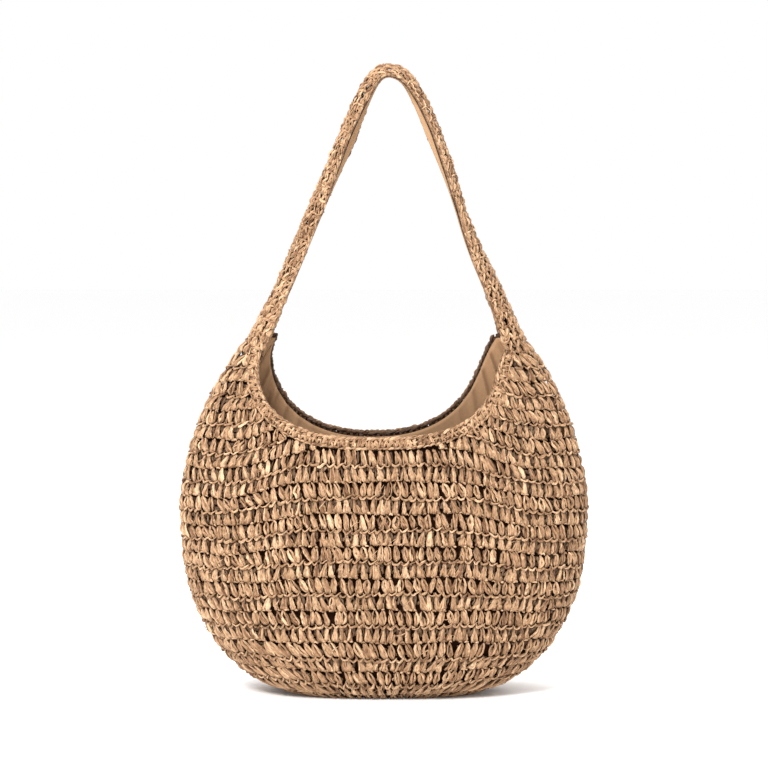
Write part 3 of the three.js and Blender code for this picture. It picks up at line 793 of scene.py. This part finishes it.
def lining_floor():
    across = np.linspace(-1, 1, 81)
    reach = across / FOLD_AT
    front = lay(np.full(81, FRONT), reach * 0.995, np.full(81, 2.0), -LINING_OUT - 2)[0]
    back = lay(np.full(81, BACK), -reach * 0.995, np.full(81, 2.0), -LINING_OUT - 2)[0]
    share = np.linspace(0, 1, 30)[:, None, None]
    sheet = front * (1 - share) + back * share
    outer, inner = sheet.copy(), sheet.copy()
    outer[..., 2] = LINING_OUT
    inner[..., 2] = LINING_OUT + LINING_THICK
    return slab("lining_floor_sheet", outer, inner)


ZIP_Z = 203.0
POCKET_LOW_Z = 92.0
POCKET_TOP_Z = 193.0


def pocket_sheet():
    across = np.linspace(-0.5, 0.5, 49)[None]
    height = np.linspace(POCKET_LOW_Z, POCKET_TOP_Z, 40)[:, None]
    across, height = np.broadcast_arrays(across, height)
    rise = (height - POCKET_LOW_Z) / (POCKET_TOP_Z - POCKET_LOW_Z)
    bulge = 2.6 * (1 - np.abs(across * 2) ** 6) * (1 - (1 - rise) ** 8)
    sag = 0.5 * np.sin(across * 14 + height / 19) * bulge / 2.6
    where = np.full(height.shape, BACK)
    stand = LINING_OUT + LINING_THICK + 2.0 + bulge + sag
    outer = lay(where, across, height, -stand)[0]
    inner = lay(where, across, height, -stand - 0.9)[0]
    return slab("zip_pocket_sheet", outer, inner)


# ---- Materials ----
def node_tree(name):
    material = bpy.data.materials.new(name)
    material.use_nodes = True
    nodes = material.node_tree.nodes
    return material, nodes, material.node_tree.links, nodes["Principled BSDF"]


def add_node(nodes, kind, values=None, **fields):
    """A new shader node with its fields set, then the values of its inputs."""
    node = nodes.new("ShaderNode" + kind)
    for field, value in fields.items():
        setattr(node, field, value)
    for title, value in (values or {}).items():
        node.inputs[title].default_value = value
    return node


def make_straw_material():
    material, nodes, links, shader = node_tree("paper_straw")
    tint, shade, fibre = (
        add_node(nodes, "Attribute", attribute_name=layer) for layer in ("tint", "shade", "fibre")
    )
    ramp = add_node(nodes, "ValToRGB")
    elements = ramp.color_ramp.elements
    elements[0].position, elements[0].color = 0.0, (0.14, 0.062, 0.025, 1)
    elements[1].position, elements[1].color = 1.0, (0.68, 0.455, 0.275, 1)
    for position, color in ((0.3, (0.33, 0.182, 0.092, 1)), (0.65, (0.48, 0.29, 0.16, 1))):
        elements.new(position).color = color
    stretch = add_node(nodes, "Mapping", {"Scale": (0.14, 0.8, 0.8)})
    links.new(fibre.outputs["Vector"], stretch.inputs["Vector"])
    streaks = add_node(nodes, "TexNoise", {"Scale": 1.6, "Detail": 5, "Roughness": 0.65})
    links.new(stretch.outputs["Vector"], streaks.inputs["Vector"])
    spread = add_node(nodes, "MapRange", {
        "From Min": 0.25,
        "From Max": 0.75,
        "To Min": -0.45,
        "To Max": 0.40,
    })
    links.new(streaks.outputs["Fac"], spread.inputs["Value"])
    add = add_node(nodes, "Math", operation="ADD")
    links.new(tint.outputs["Fac"], add.inputs[0])
    links.new(spread.outputs["Result"], add.inputs[1])
    links.new(add.outputs["Value"], ramp.inputs["Fac"])
    # Painted shade along fine creases: thin lines where this noise crosses its middle darken the straw down
    # to 0.35.
    crease_line_noise = add_node(nodes, "TexNoise", {"Scale": 0.7, "Detail": 2})
    links.new(stretch.outputs["Vector"], crease_line_noise.inputs["Vector"])
    middle = add_node(nodes, "Math", {1: 0.5}, operation="SUBTRACT")
    links.new(crease_line_noise.outputs["Fac"], middle.inputs[0])
    away = add_node(nodes, "Math", operation="ABSOLUTE")
    links.new(middle.outputs["Value"], away.inputs[0])
    crease_line_shade = add_node(nodes, "MapRange", {"From Max": 0.035, "To Min": 0.35})
    links.new(away.outputs["Value"], crease_line_shade.inputs["Value"])
    # Painted shade: the shade attribute, times the crease lines, mixes the straw's colour towards near-black
    # (0.03, 0.010, 0.003).
    depth = add_node(nodes, "Math", operation="MULTIPLY")
    links.new(crease_line_shade.outputs["Result"], depth.inputs[0])
    links.new(shade.outputs["Fac"], depth.inputs[1])
    dark = add_node(nodes, "Mix", {"A": (0.03, 0.010, 0.003, 1)}, data_type="RGBA")
    links.new(depth.outputs["Value"], dark.inputs["Factor"])
    links.new(ramp.outputs["Color"], dark.inputs["B"])
    links.new(dark.outputs["Result"], shader.inputs["Base Color"])
    bump = add_node(nodes, "Bump", {"Strength": 0.7, "Distance": 0.0006})
    links.new(streaks.outputs["Fac"], bump.inputs["Height"])
    links.new(bump.outputs["Normal"], shader.inputs["Normal"])
    rough = add_node(nodes, "MapRange", {"To Min": 0.48, "To Max": 0.74})
    links.new(streaks.outputs["Fac"], rough.inputs["Value"])
    links.new(rough.outputs["Result"], shader.inputs["Roughness"])
    shader.inputs["Specular IOR Level"].default_value = 0.3
    return material


def make_cloth_material(name, color, spread):
    """A plain woven cotton: slubs along both threads, and painted shade: the face turned towards the straw is
    near-black, standing in for the shadow seen through the straw's gaps.
    """
    material, nodes, links, shader = node_tree(name)
    weave = add_node(nodes, "Attribute", attribute_name="weave")
    shade_side = add_node(nodes, "Attribute", attribute_name="painted_shade_side")
    slubs = []
    for scale in ((0.25, 2.2, 1), (2.2, 0.25, 1)):
        stretch = add_node(nodes, "Mapping", {"Scale": scale})
        noise = add_node(nodes, "TexNoise", {"Scale": 0.8, "Detail": 3})
        links.new(weave.outputs["Vector"], stretch.inputs["Vector"])
        links.new(stretch.outputs["Vector"], noise.inputs["Vector"])
        slubs.append(noise.outputs["Fac"])
    threads = add_node(nodes, "Math", operation="ADD")
    links.new(slubs[0], threads.inputs[0])
    links.new(slubs[1], threads.inputs[1])
    ramp = add_node(nodes, "MapRange", {"From Min": 0.7, "From Max": 1.3})
    links.new(threads.outputs["Value"], ramp.inputs["Value"])
    right = add_node(nodes, "Mix", {
        "A": tuple(c * (1 - spread) for c in color) + (1,),
        "B": tuple(min(c * (1 + spread), 1) for c in color) + (1,),
    }, data_type="RGBA")
    links.new(ramp.outputs["Result"], right.inputs["Factor"])
    # Painted shade: the sheet's face turned towards the straw is mixed to near-black, as the shadow in the
    # straw's gaps.
    both = add_node(nodes, "Mix", {"B": (0.022, 0.006, 0.0016, 1)}, data_type="RGBA")
    links.new(shade_side.outputs["Fac"], both.inputs["Factor"])
    links.new(right.outputs["Result"], both.inputs["A"])
    links.new(both.outputs["Result"], shader.inputs["Base Color"])
    bump = add_node(nodes, "Bump", {"Strength": 0.35, "Distance": 0.0004})
    links.new(threads.outputs["Value"], bump.inputs["Height"])
    links.new(bump.outputs["Normal"], shader.inputs["Normal"])
    shader.inputs["Roughness"].default_value = 0.9
    shader.inputs["Specular IOR Level"].default_value = 0.15
    return material


def make_metal_material(name, color, roughness):
    """Plated metal with a fine, uneven polish."""
    material, nodes, links, shader = node_tree(name)
    place = add_node(nodes, "TexCoord")
    polish = add_node(nodes, "TexNoise", {"Scale": 900, "Detail": 4})
    links.new(place.outputs["Object"], polish.inputs["Vector"])
    wear = add_node(nodes, "TexNoise", {"Scale": 140})
    links.new(place.outputs["Object"], wear.inputs["Vector"])
    rough = add_node(nodes, "MapRange", {"To Min": roughness * 0.7, "To Max": roughness * 1.4})
    links.new(polish.outputs["Fac"], rough.inputs["Value"])
    links.new(rough.outputs["Result"], shader.inputs["Roughness"])
    tone = add_node(nodes, "Mix", {
        "A": tuple(c * 0.82 for c in color) + (1,),
        "B": color + (1,),
    }, data_type="RGBA")
    links.new(wear.outputs["Fac"], tone.inputs["Factor"])
    links.new(tone.outputs["Result"], shader.inputs["Base Color"])
    shader.inputs["Metallic"].default_value = 1.0
    return material


def make_zip_material(name, color):
    """Woven zip tape and nylon coil: a fine rib, with a little dye variation."""
    material, nodes, links, shader = node_tree(name)
    place = add_node(nodes, "TexCoord")
    rib = add_node(nodes, "TexWave", {"Scale": 260, "Distortion": 1.2})
    links.new(place.outputs["Object"], rib.inputs["Vector"])
    dye = add_node(nodes, "TexNoise", {"Scale": 300})
    links.new(place.outputs["Object"], dye.inputs["Vector"])
    tone = add_node(nodes, "Mix", {
        "A": tuple(c * 0.8 for c in color) + (1,),
        "B": tuple(c * 1.1 for c in color) + (1,),
    }, data_type="RGBA")
    links.new(dye.outputs["Fac"], tone.inputs["Factor"])
    links.new(tone.outputs["Result"], shader.inputs["Base Color"])
    bump = add_node(nodes, "Bump", {"Strength": 0.4, "Distance": 0.0002})
    links.new(rib.outputs["Fac"], bump.inputs["Height"])
    links.new(bump.outputs["Normal"], shader.inputs["Normal"])
    shader.inputs["Roughness"].default_value = 0.7
    return material


straw_material = make_straw_material()
snap_material = make_metal_material("snap_nickel", (0.62, 0.56, 0.45), 0.28)
# Painted shade: the washers are near-black so that, seen through the straw's gaps, they read as the gaps'
# shadow.
washer_material = make_metal_material("washer_dark", (0.06, 0.035, 0.02), 0.6)
zip_metal_material = make_metal_material("zip_brass", (0.60, 0.47, 0.28), 0.3)
zip_tape_material = make_zip_material("zip_tape_twill", (0.36, 0.22, 0.125))
zip_coil_material = make_zip_material("zip_coil_nylon", (0.30, 0.18, 0.10))
lining_material = make_cloth_material("lining_cotton", (0.34, 0.20, 0.108), 0.12)
tape_material = make_cloth_material("strap_tape", (0.42, 0.26, 0.145), 0.10)


# ---- Camera, light and floor ----
def aim(obj, target):
    direction = np.array(target, float) - np.array(obj.location, float)
    obj.rotation_euler = Vector(direction).to_track_quat("-Z", "Y").to_euler()


CAMERA_DISTANCE = 2.6
CAMERA_RISE = math.radians(4.0)
VIEW_WIDTH = 0.768
AIM_Z = 0.3095


def make_camera():
    data = bpy.data.cameras.new("camera")
    data.sensor_width = 36
    data.lens = 36 * CAMERA_DISTANCE / VIEW_WIDTH
    camera = bpy.data.objects.new("camera", data)
    bpy.context.scene.collection.objects.link(camera)
    y = -CAMERA_DISTANCE * math.cos(CAMERA_RISE)
    camera.location = (0, y, AIM_Z + CAMERA_DISTANCE * math.sin(CAMERA_RISE))
    aim(camera, (0, 0, AIM_Z))
    bpy.context.scene.camera = camera


def area_light(name, place, target, size, power):
    data = bpy.data.lights.new(name, "AREA")
    data.shape = "SQUARE"
    data.size = size
    data.energy = power
    lamp = bpy.data.objects.new(name, data)
    lamp.location = place
    bpy.context.scene.collection.objects.link(lamp)
    aim(lamp, target)


def make_studio():
    scene = bpy.context.scene
    scene.view_settings.view_transform = "Standard"
    world = bpy.data.worlds.new("studio")
    world.use_nodes = True
    world.node_tree.nodes["Background"].inputs["Color"].default_value = (1, 1, 1, 1)
    world.node_tree.nodes["Background"].inputs["Strength"].default_value = 1.0
    scene.world = world
    area_light("key", (-0.9, -1.7, 1.7), (0, 0, 0.25), 0.7, 62)
    area_light("top", (0.3, 0.2, 2.2), (0, 0, 0.2), 1.2, 20)
    area_light("back_fill", (1.3, 1.9, 1.3), (0, 0, 0.25), 1.6, 22)
    side = 12.0
    corners = np.array([(-side, -side, 0), (side, -side, 0), (side, side, 0), (-side, side, 0)]) / MM
    floor = new_mesh("floor", corners, [np.array([[0, 1, 2, 3]])])
    material, _, _, shader = node_tree("pale_floor")
    shader.inputs["Base Color"].default_value = (0.985, 0.985, 0.985, 1)
    shader.inputs["Roughness"].default_value = 0.9
    floor.data.materials.append(material)


# ---- The zip's coils ----
ZIP_HALF_LENGTH = 75.0
ZIP_Y = 42.0
COIL_PITCH = 1.25
COIL_RADIUS = 0.62
WIRE = 0.26
WIRE_SIDES = 6
COIL_STEPS = 10
COIL_OFF = 1.7


def zip_coil(name, sign):
    """A nylon monofilament wound in a flattened helix along one edge of the zip."""
    turns = int(2 * ZIP_HALF_LENGTH / COIL_PITCH)
    turn = np.linspace(0, 2 * math.pi * turns, turns * COIL_STEPS + 1)
    x = -ZIP_HALF_LENGTH + turn / (2 * math.pi) * COIL_PITCH
    middle = ZIP_Z + sign * COIL_OFF
    y = ZIP_Y + COIL_RADIUS * 0.85 * np.sin(turn)
    z = middle + COIL_RADIUS * 1.2 * np.cos(turn)
    path = np.stack([x, y, z], -1)
    along = unit(np.gradient(path, axis=0))
    side = unit(np.cross(along, np.array([1.0, 0, 0])))
    up = np.cross(side, along)
    angle = np.linspace(0, 2 * math.pi, WIRE_SIDES, endpoint=False)[:, None]
    ring = path[:, None] + WIRE * (np.cos(angle) * side[:, None] + np.sin(angle) * up[:, None])
    index = np.arange(len(path) * WIRE_SIDES).reshape(-1, WIRE_SIDES)
    nxt = np.roll(index, -1, axis=1)
    quads = np.stack([index[:-1], nxt[:-1], nxt[1:], index[1:]], -1).reshape(-1, 4)
    return new_mesh(name, ring.reshape(-1, 3), [quads, np.stack([index[0, ::-1], index[-1]])])


# ---- Assembly ----
def dress(node, material):
    """Gives a CAD piece its finished material, in the slots it has."""
    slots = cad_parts[node].data.materials
    for i in range(len(slots)):
        slots[i] = material


def dress_hardware():
    dress("snap_socket", snap_material)
    dress("snap_stud", snap_material)
    for end in ("front", "back"):
        dress(f"snap_washer_{end}", washer_material)
    for node in ("zip_slider", "zip_puller", "zip_stop_closed", "zip_stop_open"):
        dress(node, zip_metal_material)
    for edge, sign in (("lower", -1), ("upper", 1)):
        dress(f"zip_tape_{edge}", zip_tape_material)
        coil = zip_coil(f"zip_coil_wire_{edge}", sign)
        coil.data.materials.append(zip_coil_material)
        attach(coil, "bag")
        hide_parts(f"zip_coil_{edge}")


def build_body():
    for piece in crochet_body():
        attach(piece, "bag")
        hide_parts("front_panel", "back_panel", "gusset_left", "gusset_right", "base_panel")
    for name, side, rim, node in (
        ("mouth_edging_front", FRONT, FRONT_RIM, "rim_edging_front"),
        ("mouth_edging_back", BACK, BACK_RIM, "rim_edging_back"),
    ):
        piece = edging(name, side, rim)
        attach(piece, "bag")
        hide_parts(node)


def build_strap():
    crochet, backing = strap_crochet(), strap_backing()
    for piece in (crochet, backing):
        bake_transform(piece)
    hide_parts("strap_band", "strap_end_left", "strap_end_right")
    backing.data.materials.append(tape_material)
    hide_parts("strap_backing")


def build_lining():
    made = [
        (lining_panel("lining_front_sheet", FRONT), "lining_front", (0.36, 0.39), 0.085),
        (lining_panel("lining_back_sheet", BACK), "lining_back", (0.37, 0.41), 0.089),
        (lining_panel("lining_left_sheet", LEFT), "lining_left", (0.12, 0.42), 0.039),
        (lining_panel("lining_right_sheet", RIGHT), "lining_right", (0.12, 0.42), 0.039),
        (lining_floor(), "lining_floor", (0.19, 0.08), 0.0107),
        (pocket_sheet(), "pocket_panel", (0.17, 0.10), 0.0162),
    ]
    for sheet, node, flat, area in made:
        sheet.data.materials.append(lining_material)
        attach(sheet, "bag")
        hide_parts(node)


make_camera()
make_studio()
build_body()
build_strap()
build_lining()
dress_hardware()
